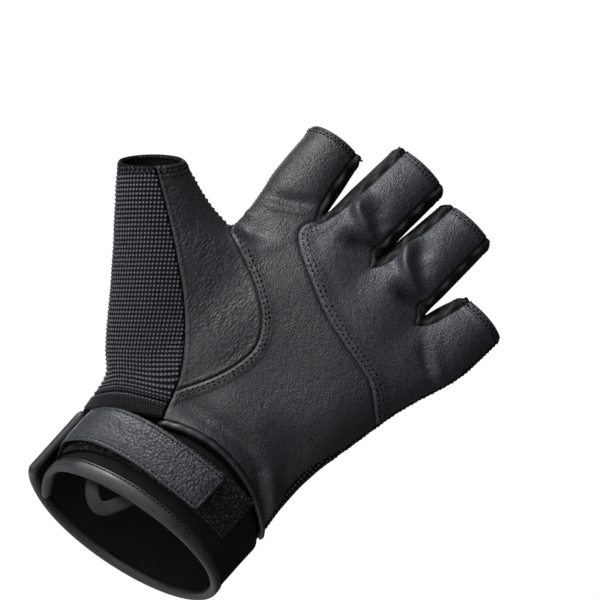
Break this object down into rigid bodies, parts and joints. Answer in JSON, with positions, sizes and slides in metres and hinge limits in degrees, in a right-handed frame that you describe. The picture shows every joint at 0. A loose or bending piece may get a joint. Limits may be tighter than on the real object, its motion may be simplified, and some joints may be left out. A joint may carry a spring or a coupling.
{
  "type": "trekking glove",
  "caption": "Half-finger leather trekking glove for the left hand, with a ribbed stretch back, a closing tab at the wrist and a webbing pull loop.",
  "frame": {"origin": "centre of the wrist opening, in the tilted plane of the cuff's edge", "axes": "+Z from the wrist to the fingertips, the palm faces -Y, the thumb lies towards -X and the little finger towards +X"},
  "size_m": [0.1412, 0.0526, 0.1816],
  "materials": {
    "palm_leather": "pebbled, semi-matt",
    "finger_leather": "pebbled, semi-matt",
    "thumb_leather": "fine wrinkled, semi-matt",
    "thumb_weave": "ribbed, matt",
    "back_weave": "ribbed, matt",
    "fourchette": "smooth knit, matt",
    "cuff_band": "soft knit, matt",
    "binding": "smooth, semi-gloss",
    "palm_roll": "smooth, semi-gloss",
    "strap": "pebbled, semi-matt",
    "tape": "fuzzy, matt",
    "webbing": "ribbed grosgrain, matt"
  },
  "bodies": {
    "root": {"palm_leather": "palm_leather", "finger_leather": "finger_leather", "thumb_leather": "thumb_leather", "thumb_weave": "thumb_weave", "back_weave": "back_weave", "fourchette_1": "fourchette", "fourchette_2": "fourchette", "fourchette_3": "fourchette", "cuff_band": "cuff_band", "cuff_binding": "binding", "side_binding": "binding", "palm_roll": "palm_roll", "strap": "strap", "hook_tape": "tape", "loop_tape": "tape", "pull_loop": "webbing"}
  },
  "joints": []
}
